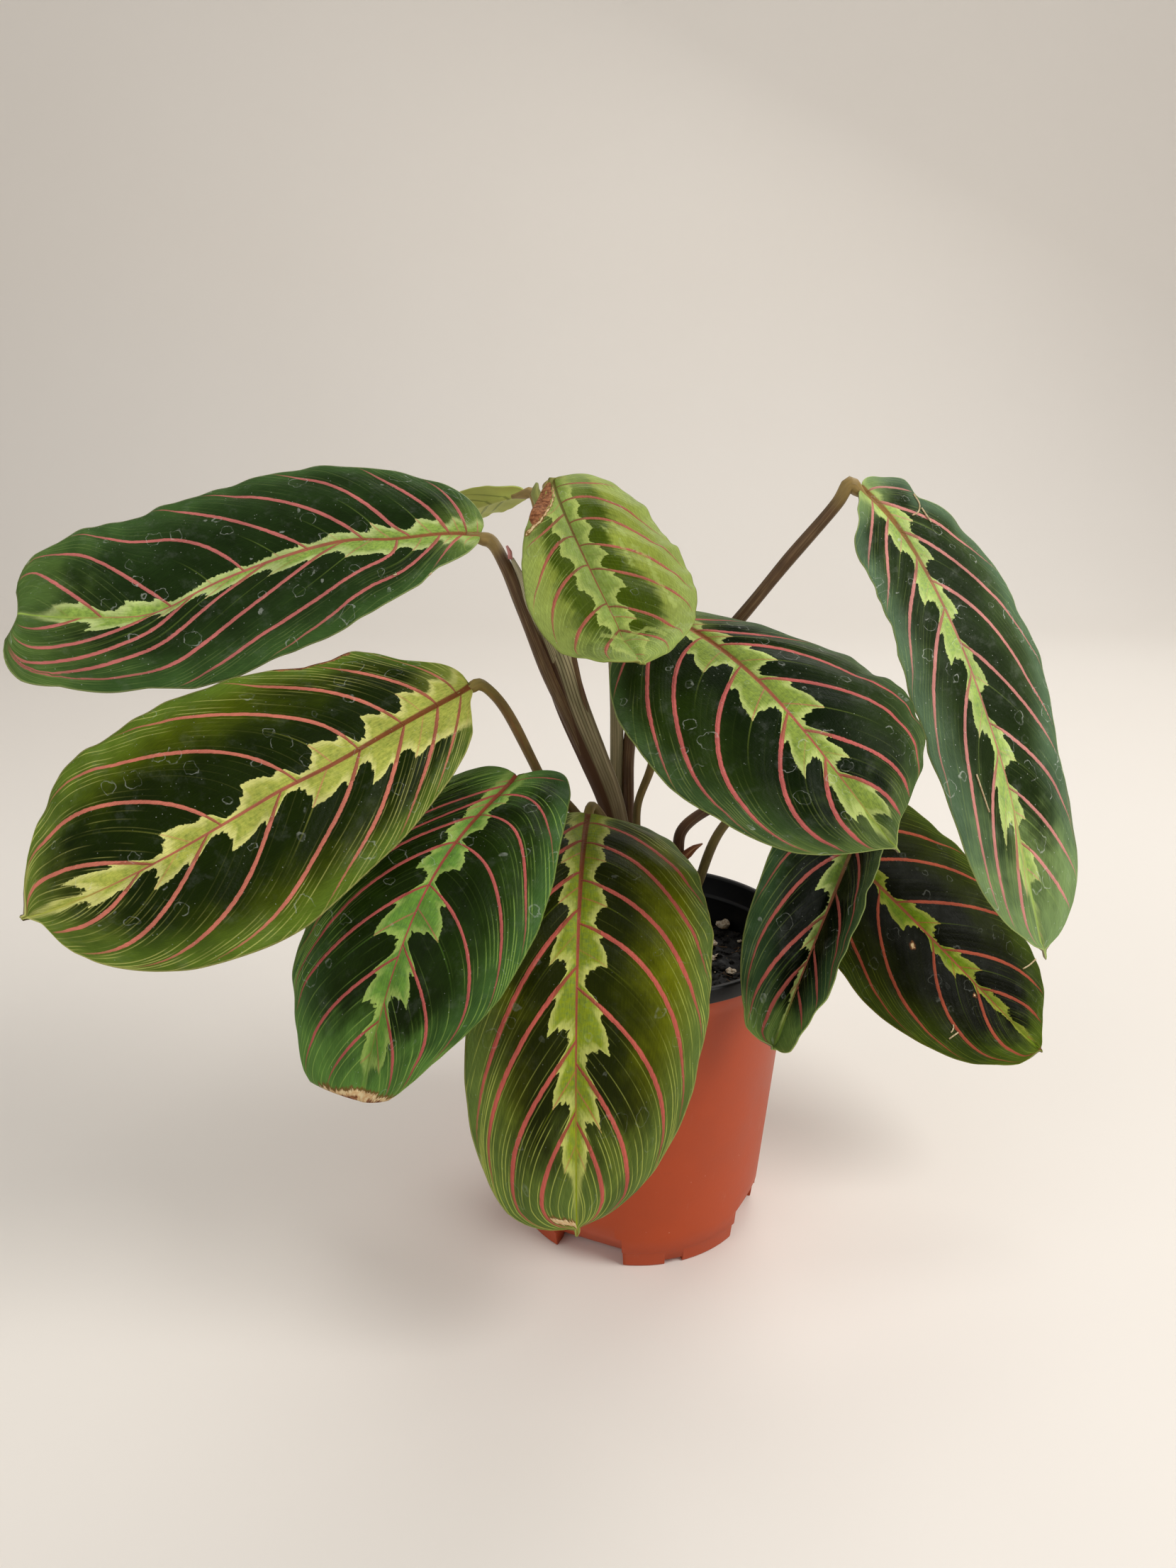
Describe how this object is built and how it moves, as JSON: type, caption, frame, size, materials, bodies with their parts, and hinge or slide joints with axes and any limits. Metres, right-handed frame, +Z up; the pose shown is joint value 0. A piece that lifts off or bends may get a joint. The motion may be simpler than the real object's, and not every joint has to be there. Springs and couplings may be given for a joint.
{
  "type": "potted prayer plant maranta",
  "caption": "Prayer plant with broad patterned leaves on slender arching stalks, growing in soil in a small tapered nursery pot that stands on its foot ring.",
  "frame": {"origin": "centre of the pot's underside, in the plane that the pot stands on", "axes": "+Z up along the pot's axis; -Y towards the front of the plant, the side that most leaves face; +X to the right seen from the front"},
  "size_m": [0.308, 0.1575, 0.2415],
  "materials": {
    "pot_terracotta": "satin moulded plastic, terracotta outside and black inside, with a black rim band and light scuffs",
    "potting_soil": "moist dark peat with crumbs, fibres and pale grains of perlite",
    "dark_leaf": "satin black-green blade with red side veins and a pale green feathered band along the midrib",
    "olive_leaf": "satin olive-green blade with red side veins and a pale green feathered band along the midrib",
    "young_leaf": "satin light green blade with darker blotches and fine veins",
    "red_stalk": "satin red-brown stalk with a striped grey-green sheath",
    "green_stalk": "satin olive-green stalk with fine stripes along it"
  },
  "bodies": {
    "root": {"pot": "pot_terracotta", "soil": "potting_soil", "shoot_left": "red_stalk", "shoot_back": "red_stalk", "stalk_centre_right": "green_stalk", "stalk_low_right": "red_stalk", "stalk_folded": "green_stalk", "stalk_middle_left": "green_stalk", "stalk_lower_left": "green_stalk", "stalk_front": "green_stalk", "leaf_upper_left": "dark_leaf", "leaf_middle_left": "olive_leaf", "leaf_lower_left": "dark_leaf", "leaf_front": "olive_leaf", "leaf_young": "young_leaf", "leaf_centre_right": "dark_leaf", "leaf_far_right": "dark_leaf", "leaf_low_right": "olive_leaf", "leaf_folded": "dark_leaf", "leaf_rolled": "young_leaf"}
  },
  "joints": []
}
